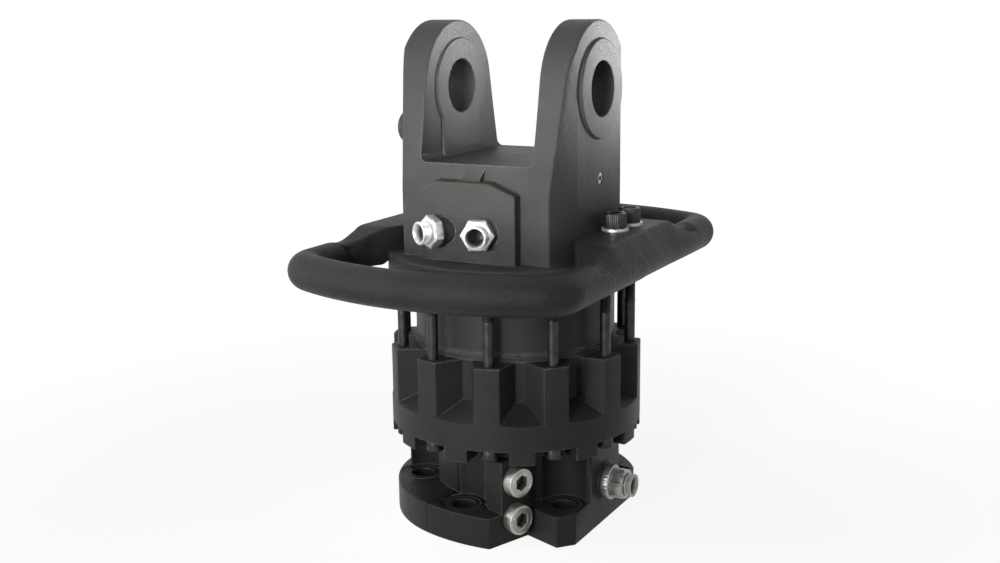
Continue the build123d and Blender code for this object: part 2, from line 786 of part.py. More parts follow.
# Vanes, each at its innermost stroke in the drum's slots
for index in range(vane_count):
    with BuildPart() as vane:
        with BuildSketch(Plane.XY.offset(crown_top + 2 * running_gap)):
            with PolarLocations(drum_radius - vane_depth / 2, 1, start_angle=360 / vane_count * index):
                Rectangle(vane_depth, vane_thickness)
        extrude(amount=disc_bottom - crown_top - 4 * running_gap)
    save(vane.part, f"vane_{index + 1}")
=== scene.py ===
import json
import math

import bmesh
import bpy
import numpy as np
from mathutils import Matrix, Vector


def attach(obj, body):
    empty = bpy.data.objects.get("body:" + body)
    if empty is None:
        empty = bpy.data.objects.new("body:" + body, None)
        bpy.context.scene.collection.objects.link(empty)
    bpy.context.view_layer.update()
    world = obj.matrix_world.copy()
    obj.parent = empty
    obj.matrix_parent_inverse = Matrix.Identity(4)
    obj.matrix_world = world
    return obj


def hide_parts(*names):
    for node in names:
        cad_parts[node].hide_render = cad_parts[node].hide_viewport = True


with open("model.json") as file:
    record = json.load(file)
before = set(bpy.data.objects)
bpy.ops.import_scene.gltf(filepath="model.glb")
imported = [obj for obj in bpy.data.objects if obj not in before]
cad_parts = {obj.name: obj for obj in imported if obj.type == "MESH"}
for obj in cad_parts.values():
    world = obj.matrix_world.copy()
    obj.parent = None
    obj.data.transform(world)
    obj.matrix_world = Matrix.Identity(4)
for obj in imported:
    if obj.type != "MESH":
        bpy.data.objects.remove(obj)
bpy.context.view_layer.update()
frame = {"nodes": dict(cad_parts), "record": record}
nodes = frame["nodes"]

# Camera, fitted to the photograph: metres and degrees
CAMERA_EYE = Vector((0.5672, -1.0839, 0.49275))
CAMERA_TARGET = Vector((-0.01284, -0.00691, 0.2242))
CAMERA_ROLL = math.radians(-0.71)
CAMERA_LENS = 46.575
SENSOR_WIDTH = 36.0

# A millimetre in metres, the distance within which two points of a mesh are one, and the upward direction
MM = 0.001
SAME_PLACE = 1e-6
UP = (0, 0, 1)

# Rounding of the castings' edges: its width in metres, the least width worth having, its segments, and the
# share it may take of an edge that leads away from it and of its own run. Two edges are in line from one cosine
# on, and one leads away from the other below the second
CAST_ROUND = 0.0011
HEAD_ROUND = 0.0018
FLANGE_ROUND = 0.0011
LEAST_ROUND = 0.0003
ROUND_SEGMENTS = 3
ASIDE_SHARE = 0.42
RUN_SHARE = 0.55
IN_LINE = 0.9
LEADS_AWAY = 0.5

# Bends of a casting's mesh: faces within JOIN_ANGLE are joined, those within LEAST_BEND count as flat, from
# CREASE_ANGLE on the shading of two faces larger than BROAD_FACE (square metres) is kept apart, and from
# SMOOTH_ANGLE on the edge is sharp. LARGE_FACE_WEIGHT is how far large faces lead the shading of a corner
JOIN_ANGLE = math.radians(0.6)
LEAST_BEND = 0.01
CREASE_ANGLE = math.radians(4)
SMOOTH_ANGLE = math.radians(32)
BROAD_FACE = 0.0003
LARGE_FACE_WEIGHT = 80

# The two ports, in millimetres and degrees: the pad's face, the height of the axes and, for each port, its
# node, where its axis meets the pad, its turn from the front, its boss's rise and its hexagon's turn
PAD_Y = -90.4
PORT_Z = 287.0
PORTS = (
    ("port_fitting_left", -27.0, -27.0, 5.2, 12.0),
    ("port_fitting_right", 12.6, 17.0, 4.0, 30.0),
)

# A port boss: the radii that its wall lies between, how far off a face a point still belongs to it, and the
# share of its radius that is kept
BOSS_INNER = 15.3
BOSS_OUTER = 16.3
BOSS_NEAR = 0.05
BOSS_SLIM = 0.80

# Places on the head whose edges stay crisp, each a centre and a reach in millimetres: round the ports, and
# along the front and back of the clevis floor
HEAD_CRISP = [((-29, -93, 287), 24), ((14, -93, 287), 24)]
HEAD_CRISP += [((x, y, 345.5), 8) for x in (-54, 0, 54) for y in (-75, 75)]

# Floor and walls: half the floor's side, its tone, where its glow starts and ends to rise in metres from the
# part, the glow near the part, and the walls' strength as a lamp
FLOOR_HALF = 8.0
FLOOR_TONE = (0.34, 0.34, 0.34)
GLOW_FROM = 0.25
GLOW_TO = 1.0
GLOW_NEAR = 0.88
WALL_LIGHT = 0.11

# Soft boxes: name, place, target and size in metres, power in watts and spread in degrees
LAMPS = (
    ("front", (0.10, -0.90, 0.50), (0, 0, 0.40), (0.30, 0.30), 0.48, 50),
    ("front_strip", (0.05, -0.90, 0.44), (0, 0, 0.40), (0.25, 0.10), 0.20, 26),
    ("front_low", (-0.10, -0.90, 0.20), (0, 0, 0.15), (0.50, 0.30), 0.42, 60),
    ("left", (-0.80, -0.50, 0.40), (0, 0, 0.40), (0.30, 0.30), 0.32, 50),
    ("rear_right", (0.32, 0.36, 0.50), (0, 0, 0.49), (0.15, 0.10), 0.18, 30),
    ("rear_right_low", (0.30, 0.30, 0.36), (0, 0, 0.48), (0.15, 0.10), 0.26, 40),
    ("crown_glow", (-0.40, -0.30, 0.75), (0, -0.1, 0.14), (0.30, 0.30), 0.10, 50),
)

scene = bpy.context.scene
scene.view_settings.view_transform = "Standard"


def add_camera():
    """Camera on the line from the target to the eye, with the photograph's small roll."""
    data = bpy.data.cameras.new("camera")
    data.lens = CAMERA_LENS
    data.sensor_width = SENSOR_WIDTH
    data.sensor_fit = "HORIZONTAL"
    data.clip_start = 0.01
    camera = bpy.data.objects.new("camera", data)
    scene.collection.objects.link(camera)
    back = (CAMERA_EYE - CAMERA_TARGET).normalized()
    right = Vector(UP).cross(back).normalized()
    up = back.cross(right)
    turned_right = right * math.cos(CAMERA_ROLL) + up * math.sin(CAMERA_ROLL)
    turned_up = up * math.cos(CAMERA_ROLL) - right * math.sin(CAMERA_ROLL)
    turn = Matrix((turned_right, turned_up, back)).transposed().to_4x4()
    camera.matrix_world = Matrix.Translation(CAMERA_EYE) @ turn
    scene.camera = camera


def add_lamp(name, place, target, size, power, spread):
    """Soft box at a place, facing a target, that lights a cone of spread degrees."""
    data = bpy.data.lights.new(name, "AREA")
    data.shape = "RECTANGLE"
    data.size, data.size_y = size
    data.energy = power
    data.spread = math.radians(spread)
    lamp = bpy.data.objects.new(name, data)
    scene.collection.objects.link(lamp)
    way = Vector(target) - Vector(place)
    lamp.rotation_euler = way.to_track_quat("-Z", "Y").to_euler()
    lamp.location = place
    lamp.visible_camera = False


class Nodes:
    """Short way to add and join shader nodes in one node tree."""

    def __init__(self, tree):
        self.tree = tree

    def add(self, kind, **settings):
        node = self.tree.nodes.new(kind)
        for key, value in settings.items():
            setattr(node, key, value)
        return node

    def join(self, source, target):
        self.tree.links.new(source, target)

    def feed(self, value, socket):
        """Joins an output to a socket, or sets the socket to a number or to a colour given as three."""
        if isinstance(value, bpy.types.NodeSocket):
            self.join(value, socket)
        elif isinstance(value, tuple):
            socket.default_value = (*value, 1)
        else:
            socket.default_value = value

    def math(self, operation, *values):
        node = self.add("ShaderNodeMath", operation=operation)
        for value, socket in zip(values, node.inputs):
            self.feed(value, socket)
        return node.outputs[0]

    def length(self, a, b):
        """Square root of a * a + b * b."""
        return self.math("SQRT", self.math("ADD", self.math("MULTIPLY", a, a), self.math("MULTIPLY", b, b)))

    def span(self, value, low, high, out_low=0.0, out_high=1.0):
        """Maps low..high of a value to out_low..out_high, held at both ends."""
        node = self.add("ShaderNodeMapRange")
        self.join(value, node.inputs["Value"])
        for key, number in (("From Min", low), ("From Max", high), ("To Min", out_low), ("To Max", out_high)):
            node.inputs[key].default_value = number
        return node.outputs["Result"]

    def noise(self, place, scale, detail=2.0, rough=0.5, warp=0.0):
        node = self.add("ShaderNodeTexNoise")
        self.join(place, node.inputs["Vector"])
        self.join(scale, node.inputs["Scale"])
        node.inputs["Detail"].default_value = detail
        node.inputs["Roughness"].default_value = rough
        node.inputs["Distortion"].default_value = warp
        return node.outputs["Fac"]

    def blend(self, share, a, b):
        """Colour between a and b, each an output or three numbers."""
        node = self.add("ShaderNodeMix", data_type="RGBA")
        for index, value in ((0, share), (6, a), (7, b)):
            self.feed(value, node.inputs[index])
        return node.outputs[2]

    def bump(self, height, strength, distance, shader):
        """Bends the shader's normal by a height."""
        node = self.add("ShaderNodeBump")
        node.inputs["Strength"].default_value = strength
        node.inputs["Distance"].default_value = distance
        self.join(height, node.inputs["Height"])
        self.join(node.outputs["Normal"], shader.inputs["Normal"])

    def seen(self):
        """1 for the rays of camera, gloss and glass, 0 for those that only carry light."""
        path = self.add("ShaderNodeLightPath")
        plain = self.math("MAXIMUM", path.outputs["Is Camera Ray"], path.outputs["Is Glossy Ray"])
        return self.math("MAXIMUM", plain, path.outputs["Is Transmission Ray"])


def new_group(name, inputs, outputs):
    """Empty shader node group with float inputs and named outputs."""
    group = bpy.data.node_groups.new(name, "ShaderNodeTree")
    for key, value in inputs.items():
        socket = group.interface.new_socket(key, in_out="INPUT", socket_type="NodeSocketFloat")
        socket.default_value = value
    for key, kind in outputs.items():
        group.interface.new_socket(key, in_out="OUTPUT", socket_type=kind)
    build = Nodes(group)
    return group, build, build.add("NodeGroupInput"), build.add("NodeGroupOutput")


def make_cast_skin():
    """Painted sand casting: millimetre grain as height, and slow cloudy changes of tone."""
    group, build, given, out = new_group(
        "cast_skin",
        {"Grain Scale": 420.0, "Cloud Scale": 14.0},
        {"Height": "NodeSocketFloat", "Cloud": "NodeSocketFloat", "Speck": "NodeSocketFloat"},
    )
    place = build.add("ShaderNodeTexCoord").outputs["Object"]
    scale = given.outputs["Grain Scale"]
    coarse = build.noise(place, scale, 3.0, 0.55, 0.3)
    fine = build.noise(place, build.math("MULTIPLY", scale, 3.1), 2.0, 0.6)
    wave = build.noise(place, build.math("MULTIPLY", scale, 0.22), 2.0, 0.5)
    height = build.math("ADD", build.math("MULTIPLY", coarse, 0.6), build.math("MULTIPLY", fine, 0.25))
    build.join(build.math("ADD", height, build.math("MULTIPLY", wave, 0.5)), out.inputs["Height"])
    build.join(build.noise(place, given.outputs["Cloud Scale"], 3.0, 0.6), out.inputs["Cloud"])
    build.join(build.span(fine, 0.62, 0.78), out.inputs["Speck"])
    return group


def make_edge_highlight():
    """Mask of a painted highlight along edges, convex and hollow alike: where the rounded normal leaves the
    face's own, broken by noise.
    """
    group, build, given, out = new_group(
        "painted_edge_highlight",
        {"Radius": 0.0018, "Break Scale": 90.0},
        {"Highlight": "NodeSocketFloat"},
    )
    bevel = build.add("ShaderNodeBevel", samples=4)
    build.join(given.outputs["Radius"], bevel.inputs["Radius"])
    geometry = build.add("ShaderNodeNewGeometry")
    dot = build.add("ShaderNodeVectorMath", operation="DOT_PRODUCT")
    build.join(bevel.outputs["Normal"], dot.inputs[0])
    build.join(geometry.outputs["Normal"], dot.inputs[1])
    turn = build.math("SUBTRACT", 1.0, dot.outputs["Value"])
    edge = build.span(turn, 0.03, 0.11)
    place = build.add("ShaderNodeTexCoord").outputs["Object"]
    broken = build.span(build.noise(place, given.outputs["Break Scale"], 3.0, 0.6), 0.28, 0.52)
    build.join(build.math("MULTIPLY", edge, broken), out.inputs["Highlight"])
    return group


def make_plating():
    """Zinc plating: soft blotches of tone and roughness with very fine brushing."""
    group, build, given, out = new_group(
        "plating",
        {"Blotch Scale": 130.0},
        {"Blotch": "NodeSocketFloat", "Fine": "NodeSocketFloat"},
    )
    place = build.add("ShaderNodeTexCoord").outputs["Object"]
    scale = given.outputs["Blotch Scale"]
    build.join(build.noise(place, scale, 4.0, 0.6, 0.5), out.inputs["Blotch"])
    build.join(build.noise(place, build.math("MULTIPLY", scale, 12.0), 2.0, 0.5), out.inputs["Fine"])
    return group


def make_seat_rings():
    """Masks of a thin line round each hole of a bolt circle, which is painted as a highlight along the edge of
    the seat inside it, and of that seat, on the face that the heads sit on: the turn is folded into one hole's
    share, and the line is where the distance from that hole's axis is the ring's radius."""
    group, build, given, out = new_group(
        "seat_rings",
        {"First Turn": 0.0, "Holes": 6.0, "Circle": 0.1, "Ring": 0.016, "Width": 0.0006, "Face Height": 0.03},
        {"Line": "NodeSocketFloat", "Seat": "NodeSocketFloat"},
    )
    parts = build.add("ShaderNodeSeparateXYZ")
    build.join(build.add("ShaderNodeTexCoord").outputs["Object"], parts.inputs[0])
    x, y, z = (parts.outputs[axis] for axis in "XYZ")
    turn = build.math("ARCTAN2", x, build.math("MULTIPLY", y, -1.0))
    turn = build.math("SUBTRACT", turn, given.outputs["First Turn"])
    share = build.math("DIVIDE", 2 * math.pi, given.outputs["Holes"])
    half = build.math("MULTIPLY", share, 0.5)
    fold = build.math("WRAP", turn, half, build.math("MULTIPLY", half, -1.0))
    radius = build.length(x, y)
    along = build.math("MULTIPLY", radius, build.math("COSINE", fold))
    along = build.math("SUBTRACT", along, given.outputs["Circle"])
    aside = build.math("MULTIPLY", radius, build.math("SINE", fold))
    off = build.math("SUBTRACT", build.length(along, aside), given.outputs["Ring"])
    level_off = build.math("ABSOLUTE", build.math("SUBTRACT", z, given.outputs["Face Height"]))
    face = build.span(level_off, 0.0006, 0.0012, 1.0, 0.0)
    near = build.math("DIVIDE", build.math("ABSOLUTE", off), given.outputs["Width"])
    line = build.span(near, 0.5, 1.2, 1.0, 0.0)
    build.join(build.math("MULTIPLY", line, face), out.inputs["Line"])
    build.join(build.math("MULTIPLY", build.span(off, -0.0006, 0.0002, 1.0, 0.0), face), out.inputs["Seat"])
    return group


def make_parting_line():
    """Mask of the thin seam where a plane through the turning axis meets the casting on one side of it."""
    group, build, given, out = new_group(
        "parting_line",
        {"Turn": 0.0, "Width": 0.0010},
        {"Line": "NodeSocketFloat"},
    )
    parts = build.add("ShaderNodeSeparateXYZ")
    build.join(build.add("ShaderNodeTexCoord").outputs["Object"], parts.inputs[0])
    x, y = parts.outputs["X"], parts.outputs["Y"]
    sine = build.math("SINE", given.outputs["Turn"])
    cosine = build.math("COSINE", given.outputs["Turn"])
    off = build.math("ADD", build.math("MULTIPLY", x, cosine), build.math("MULTIPLY", y, sine))
    ahead = build.math("SUBTRACT", build.math("MULTIPLY", x, sine), build.math("MULTIPLY", y, cosine))
    share = build.math("DIVIDE", build.math("ABSOLUTE", off), given.outputs["Width"])
    near = build.span(share, 0.6, 1.2, 1.0, 0.0)
    build.join(build.math("MULTIPLY", near, build.span(ahead, 0.0, 0.001)), out.inputs["Line"])
    return group


CAST_SKIN = make_cast_skin()
PARTING_LINE = make_parting_line()
SEAT_RINGS = make_seat_rings()
EDGE_HIGHLIGHT = make_edge_highlight()
PLATING = make_plating()

# Tones of a casting's seam and of the shade in a bore
SEAM_TONE = (0.003, 0.003, 0.003)
BORE_TONE = (0.02, 0.02, 0.02)


def new_material(name):
    """Material with a Principled shader, and the helper that adds nodes to it."""
    material = bpy.data.materials.new(name)
    material.use_nodes = True
    build = Nodes(material.node_tree)
    shader = material.node_tree.nodes["Principled BSDF"]
    return material, build, shader


def use_group(build, group, **values):
    """Node group in a material, with its inputs set by name, _ for a space."""
    node = build.add("ShaderNodeGroup")
    node.node_tree = group
    for key, value in values.items():
        node.inputs[key.replace("_", " ")].default_value = value
    return node


def painted_casting(name, dark, pale, rough=(0.40, 0.54), grain=420.0, depth=0.0012, highlight_tone=0.19,
                    seam=None, seats=None):
    """Satin black paint over a sand casting, with paler specks and a painted highlight along its edges. It may
    have a dark seam at a turn in degrees, and seat rings with the values of their group, whose line gets the
    same painted highlight."""
    material, build, shader = new_material(name)
    shader.inputs["Specular IOR Level"].default_value = 0.15
    skin = use_group(build, CAST_SKIN, Grain_Scale=grain)
    edge_highlight = use_group(build, EDGE_HIGHLIGHT)
    tone = build.blend(build.span(skin.outputs["Cloud"], 0.35, 0.65), dark, pale)
    bright = tuple(1.8 * c for c in pale)
    speck = build.blend(build.math("MULTIPLY", skin.outputs["Speck"], 0.35), tone, bright)
    # Painted highlight: a pale tone blended onto the edges by the edge mask
    edge = (highlight_tone, highlight_tone, highlight_tone)
    colour = build.blend(build.math("MULTIPLY", edge_highlight.outputs["Highlight"], 0.8), speck, edge)
    height = skin.outputs["Height"]
    if seam is not None:
        line = use_group(build, PARTING_LINE, Turn=math.radians(seam)).outputs["Line"]
        colour = build.blend(line, colour, SEAM_TONE)
        height = build.math("SUBTRACT", height, line)
    if seats is not None:
        rings = use_group(build, SEAT_RINGS, **seats)
        # Painted highlight along the seat rings' line, in the same pale tone
        colour = build.blend(build.math("MULTIPLY", rings.outputs["Line"], 0.45), colour, edge)
        height = build.math("SUBTRACT", height, build.math("MULTIPLY", rings.outputs["Seat"], 0.8))
    build.join(colour, shader.inputs["Base Color"])
    build.join(build.span(skin.outputs["Cloud"], 0.3, 0.7, *rough), shader.inputs["Roughness"])
    build.bump(height, 1.0, depth, shader)
    return material


def plated_metal(name, dull, bright, rough=(0.22, 0.38)):
    """Plated or bare metal, blotched, with painted shade where the attribute bore is 1."""
    material, build, shader = new_material(name)
    shader.inputs["Metallic"].default_value = 0.75
    plating = use_group(build, PLATING)
    colour = build.blend(build.span(plating.outputs["Blotch"], 0.35, 0.65), dull, bright)
    bore = build.add("ShaderNodeAttribute", attribute_name="bore")
    shade = build.math("MULTIPLY", bore.outputs["Fac"], 0.85)
    build.join(build.blend(shade, colour, BORE_TONE), shader.inputs["Base Color"])
    build.join(build.span(plating.outputs["Blotch"], 0.3, 0.7, *rough), shader.inputs["Roughness"])
    build.bump(plating.outputs["Fine"], 0.25, 0.0001, shader)
    return material


def soft_seal(name, dark, pale):
    """Moulded seal rubber with faint dust."""
    material, build, shader = new_material(name)
    plating = use_group(build, PLATING, Blotch_Scale=220.0)
    build.join(build.blend(plating.outputs["Blotch"], dark, pale), shader.inputs["Base Color"])
    build.join(build.span(plating.outputs["Fine"], 0.3, 0.7, 0.5, 0.7), shader.inputs["Roughness"])
    return material


# Seat rings round the flange's bolt holes: the first hole's turn, and sizes in metres
FLANGE_SEATS = {
    "First_Turn": math.radians(-5.0),
    "Circle": 0.094,
    "Ring": 0.0165,
    "Face_Height": 0.0286,
}

# Paint tones of the castings. The crown's and the flange's pale edge tones give them a stronger painted
# highlight than the others'
CASTINGS = {
    "crown_black": dict(dark=(0.024, 0.024, 0.024), pale=(0.036, 0.036, 0.0355), highlight_tone=0.34),
    "cast_black": dict(dark=(0.040, 0.039, 0.037), pale=(0.055, 0.053, 0.050)),
    "flange_black": dict(dark=(0.022, 0.022, 0.022), pale=(0.032, 0.031, 0.030), depth=0.0007, highlight_tone=0.26,
                         seam=-18.5, seats=FLANGE_SEATS),
    "guard_black": dict(dark=(0.015, 0.015, 0.015), pale=(0.024, 0.0235, 0.023), grain=330.0, depth=0.0018),
    "ring_black": dict(dark=(0.034, 0.034, 0.034), pale=(0.046, 0.046, 0.045), grain=900.0, depth=0.0002,
                       rough=(0.38, 0.46)),
}
METALS = {
    "bright_zinc": dict(dull=(0.60, 0.61, 0.61), bright=(0.76, 0.77, 0.77), rough=(0.34, 0.46)),
    "pale_zinc": dict(dull=(0.27, 0.275, 0.26), bright=(0.42, 0.425, 0.40), rough=(0.34, 0.46)),
    "yellow_zinc": dict(dull=(0.36, 0.35, 0.32), bright=(0.50, 0.49, 0.45), rough=(0.34, 0.48)),
    "black_screw": dict(dull=(0.022, 0.022, 0.023), bright=(0.045, 0.045, 0.046), rough=(0.32, 0.44)),
    "dark_steel": dict(dull=(0.22, 0.22, 0.23), bright=(0.33, 0.33, 0.34)),
    "bronze": dict(dull=(0.45, 0.28, 0.10), bright=(0.62, 0.42, 0.18)),
}
MATERIALS = {name: painted_casting(name, **look) for name, look in CASTINGS.items()}
MATERIALS.update({name: plated_metal(name, **look) for name, look in METALS.items()})
MATERIALS["seal_rubber"] = soft_seal("seal_rubber", (0.012, 0.012, 0.012), (0.022, 0.022, 0.022))

for entry in frame["record"]["subparts"]:
    node = nodes[entry["node"]]
    node.data.materials.clear()
    node.data.materials.append(MATERIALS[entry["material_slot"]])


def weigh_edges(shape, width, spared):
    """Gives each sharp edge its share of the rounding: all of it, or less beside a short step and on a small
    hole. An edge with room for hardly any, or in a spared place (a centre and a reach in millimetres), stays
    crisp. A slight bend between two broad faces isn't rounded, but its shading is kept apart."""
    layer = shape.edges.layers.float.new("bevel_weight_edge")
    bend = {edge: edge.calc_face_angle() for edge in shape.edges if edge.is_manifold}
    bent = {edge for edge, angle in bend.items() if angle > LEAST_BEND}
    sharp = {edge for edge in bent if bend[edge] >= SMOOTH_ANGLE}
    for edge in sharp:
        way = (edge.verts[0].co - edge.verts[1].co).normalized()
        reach, share = edge.calc_length(), 1.0
        middle = (edge.verts[0].co + edge.verts[1].co) / 2
        kept_crisp = any((middle - Vector(centre) * MM).length < near * MM for centre, near in spared)
        for vert in edge.verts:
            for other in vert.link_edges:
                run = other.verts[0].co - other.verts[1].co
                along = abs(way.dot(run.normalized()))
                if along >= IN_LINE and other in sharp:
                    reach = max(reach, run.length)
                elif other in bent and along < LEADS_AWAY:
                    share = min(share, ASIDE_SHARE * run.length / width)
        share = min(share, RUN_SHARE * reach / width)
        if kept_crisp or share * width < LEAST_ROUND:
            edge.smooth = False
        else:
            edge[layer] = share
    for edge in bent - sharp:
        smaller = min(face.calc_area() for face in edge.link_faces)
        if bend[edge] > CREASE_ANGLE and smaller > BROAD_FACE:
            edge.smooth = False


def slim_bosses(mesh):
    """Draws each port boss in under its fitting's hexagon: points of its wall, from the pad's face to the
    seat, keep BOSS_SLIM of their distance from the port's axis, and those on the pad's face stay in it."""
    flat = np.empty(3 * len(mesh.vertices))
    mesh.vertices.foreach_get("co", flat)
    points = flat.reshape(-1, 3) / MM
    for _name, crossing, turn, rise, _tip in PORTS:
        foot = np.array([crossing, PAD_Y, PORT_Z])
        way = level(turn)[0]
        above = (points - foot) @ way
        on_axis = foot + way * above[:, None]
        ring = np.linalg.norm(points - on_axis, axis=1)
        wall = (ring > BOSS_INNER) & (ring < BOSS_OUTER) & (above < rise + BOSS_NEAR)
        wall &= points[:, 1] < PAD_Y + BOSS_NEAR
        on_pad = points[:, 1:2] > PAD_Y - BOSS_NEAR
        centre = np.where(on_pad, foot, on_axis)
        points = np.where(wall[:, None], centre + BOSS_SLIM * (points - centre), points)
    mesh.vertices.foreach_set("co", (points * MM).ravel())


def dressed_node(node_name, slot, body, width, joined=False, spared=(), change=None):
    """Copy of a CAD node with its doubles merged, its points changed and its flat faces joined where that is
    asked, and its sharp edges rounded to a width."""
    mesh = nodes[node_name].data.copy()
    mesh.name = node_name + "_rounded"
    shape = bmesh.new()
    shape.from_mesh(mesh)
    bmesh.ops.remove_doubles(shape, verts=shape.verts, dist=SAME_PLACE)
    if change:
        shape.to_mesh(mesh)
        change(mesh)
        shape.clear()
        shape.from_mesh(mesh)
    if joined:
        bmesh.ops.dissolve_limit(shape, angle_limit=JOIN_ANGLE, verts=shape.verts, edges=shape.edges)
    weigh_edges(shape, width, spared)
    shape.to_mesh(mesh)
    shape.free()
    mesh.shade_smooth()
    piece = bpy.data.objects.new(node_name + "_rounded", mesh)
    scene.collection.objects.link(piece)
    bevel = piece.modifiers.new("round", "BEVEL")
    bevel.width = width
    bevel.segments = ROUND_SEGMENTS
    bevel.limit_method = "WEIGHT"
    bevel.use_clamp_overlap = False
    bevel.loop_slide = False
    level_faces = piece.modifiers.new("level_faces", "WEIGHTED_NORMAL")
    level_faces.mode = "FACE_AREA"
    level_faces.weight = LARGE_FACE_WEIGHT
    level_faces.keep_sharp = True
    mesh.materials.clear()
    mesh.materials.append(MATERIALS[slot])
    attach(piece, body)
    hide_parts(node_name)
    return piece


def smooth_share(value, low, high):
    """0 up to low, 1 from high on, and 3t^2 - 2t^3 of the way t between them."""
    t = np.clip((value - low) / (high - low), 0, 1)
    return t * t * (3 - 2 * t)


def surface_piece(name, grids, slot, body, replaced, loop_rows=False, sharp=38.0, inner_rows=0):
    """Mesh of one or more grids of points in millimetres: columns close on themselves, rows only when asked.
    Edges are sharp from an angle in degrees on. The first inner_rows of each grid get the attribute bore = 1,
    which the plating reads as shade."""
    points, faces, inner, first = [], [], [], 0
    for grid in grids:
        rows, columns = grid.shape[:2]
        index = np.arange(rows * columns).reshape(rows, columns) + first
        if loop_rows:
            index = np.concatenate([index, index[:1]])
        beside = np.roll(index, -1, axis=1)
        faces.append(np.stack([index[:-1], beside[:-1], beside[1:], index[1:]], axis=-1).reshape(-1, 4))
        points.append(grid.reshape(-1, 3))
        inner.append((np.arange(rows * columns) < inner_rows * columns).astype(float))
        first += rows * columns
    mesh = bpy.data.meshes.new(name)
    mesh.from_pydata((np.concatenate(points) * MM).tolist(), [], np.concatenate(faces).tolist())
    mesh.attributes.new("bore", "FLOAT", "POINT").data.foreach_set("value", np.concatenate(inner))
    shape = bmesh.new()
    shape.from_mesh(mesh)
    bmesh.ops.remove_doubles(shape, verts=shape.verts, dist=SAME_PLACE)
    bmesh.ops.recalc_face_normals(shape, faces=shape.faces)
    shape.to_mesh(mesh)
    shape.free()
    mesh.shade_smooth()
    mesh.set_sharp_from_angle(angle=math.radians(sharp))
    mesh.materials.append(MATERIALS[slot])
    piece = bpy.data.objects.new(name, mesh)
    scene.collection.objects.link(piece)
    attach(piece, body)
    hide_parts(replaced)
    return piece


def turned(seat, way, side, rows, columns, pitch=1.5, knurls=0):
    """Piece turned about the axis through seat along way, with its first column towards side.
    A row (height, radius, half, thread, knurl) has, at the turn a, the radius
    min(radius, half / cos(a to the middle of the nearest of six flats)), less thread times a triangle wave of
    height / pitch - a / full turn, less knurl times a triangle wave of knurls a turn. Half 0 is round."""
    height, radius, half, thread, knurl = np.array([(*row, 0, 0, 0)[:5] for row in rows], float).T[:, :, None]
    turn = np.linspace(0, 2 * np.pi, columns, endpoint=False)[None]
    off_flat = (turn + np.pi / 6) % (np.pi / 3) - np.pi / 6
    flats = np.where(half > 0, half, 1e6) / np.cos(off_flat + 0 * height)
    spread = np.minimum(radius, flats)
    spread = spread - thread * np.abs((height / pitch - turn / (2 * np.pi)) % 1 * 2 - 1)
    spread = spread - knurl * np.abs((knurls * turn / (2 * np.pi)) % 1 * 2 - 1)
    way, side = np.array(way, float), np.array(side, float)
    across = np.cross(way, side)
    around = np.cos(turn)[..., None] * side + np.sin(turn)[..., None] * across
    return np.array(seat, float) + height[..., None] * way + spread[..., None] * around


def thread_rows(low, high, radius, depth=0.9, pitch=1.5, steps=6):
    """Rows of an outside thread between two heights, faded in and out over one pitch."""
    height = np.arange(low, high, pitch / steps)
    fade = np.minimum(1, np.minimum(height - low, high - height) / pitch)
    return [(h, radius, 0, depth * f) for h, f in zip(height, fade)]


def level(turn):
    """Level direction at a turn in degrees from the front towards +X, and the level direction across it."""
    angle = math.radians(turn)
    way = np.array([math.sin(angle), -math.cos(angle), 0])
    return way, np.cross(UP, way)


def tipped(side, way, degrees):
    """Direction across way, turned about it from side."""
    angle = math.radians(degrees)
    return np.array(side) * math.cos(angle) + np.cross(way, side) * math.sin(angle)


# Guard ring, sizes as in the source, in millimetres. Bar: its radius, the height of its middle, where its
# sides lie, how far its front reaches, and the middle and the radius of the outline's corner
BAR = 16.8
BAR_HEIGHT = 256.3
SIDE_X = 128.2
REACH = 217.0
CORNER = (102.0, -152.0, 43.0)
# Lug: its top, the sides that face the head and the open, the underside on the disc, the disc's rim with a
# little room, the rounding of its three edges, and where, from the middle, it starts and ends to become bar
LUG_TOP = 282.0
LUG_SIDE = 88.8
LUG_EDGE = 130.8
LUG_UNDER = 259.1
RIM_REACH = 124.1
EDGE_ROUND, INNER_ROUND, SILL_ROUND = 6.0, 3.0, 1.5
LUG_FADE = (92, 122)
# Towards the lug's end: how far its inner face draws back, its top steps down and falls and its underside
# drops, each with the distances from the middle between which it does
INNER_BACK = (21.2, 50, 100)
TOP_STEP = (1.5, 66, 80)
TOP_FALL = (13.0, 74, 116)
UNDER_DROP = (13.0, 60, 78)
# Points along a side
SIDE_POINTS = 72
# Step where the rear right arm was joined: its depth, its place along the side at a height, its lean and half
# its width, where it starts and ends to fade, and the height from which it shows
JOINT_DEPTH = 0.8
JOINT_PLACE, JOINT_HEIGHT, JOINT_LEAN, JOINT_HALF = -34.5, 289.0, 0.5, 0.6
JOINT_FADE = (60, 110)
JOINT_LOW = 240


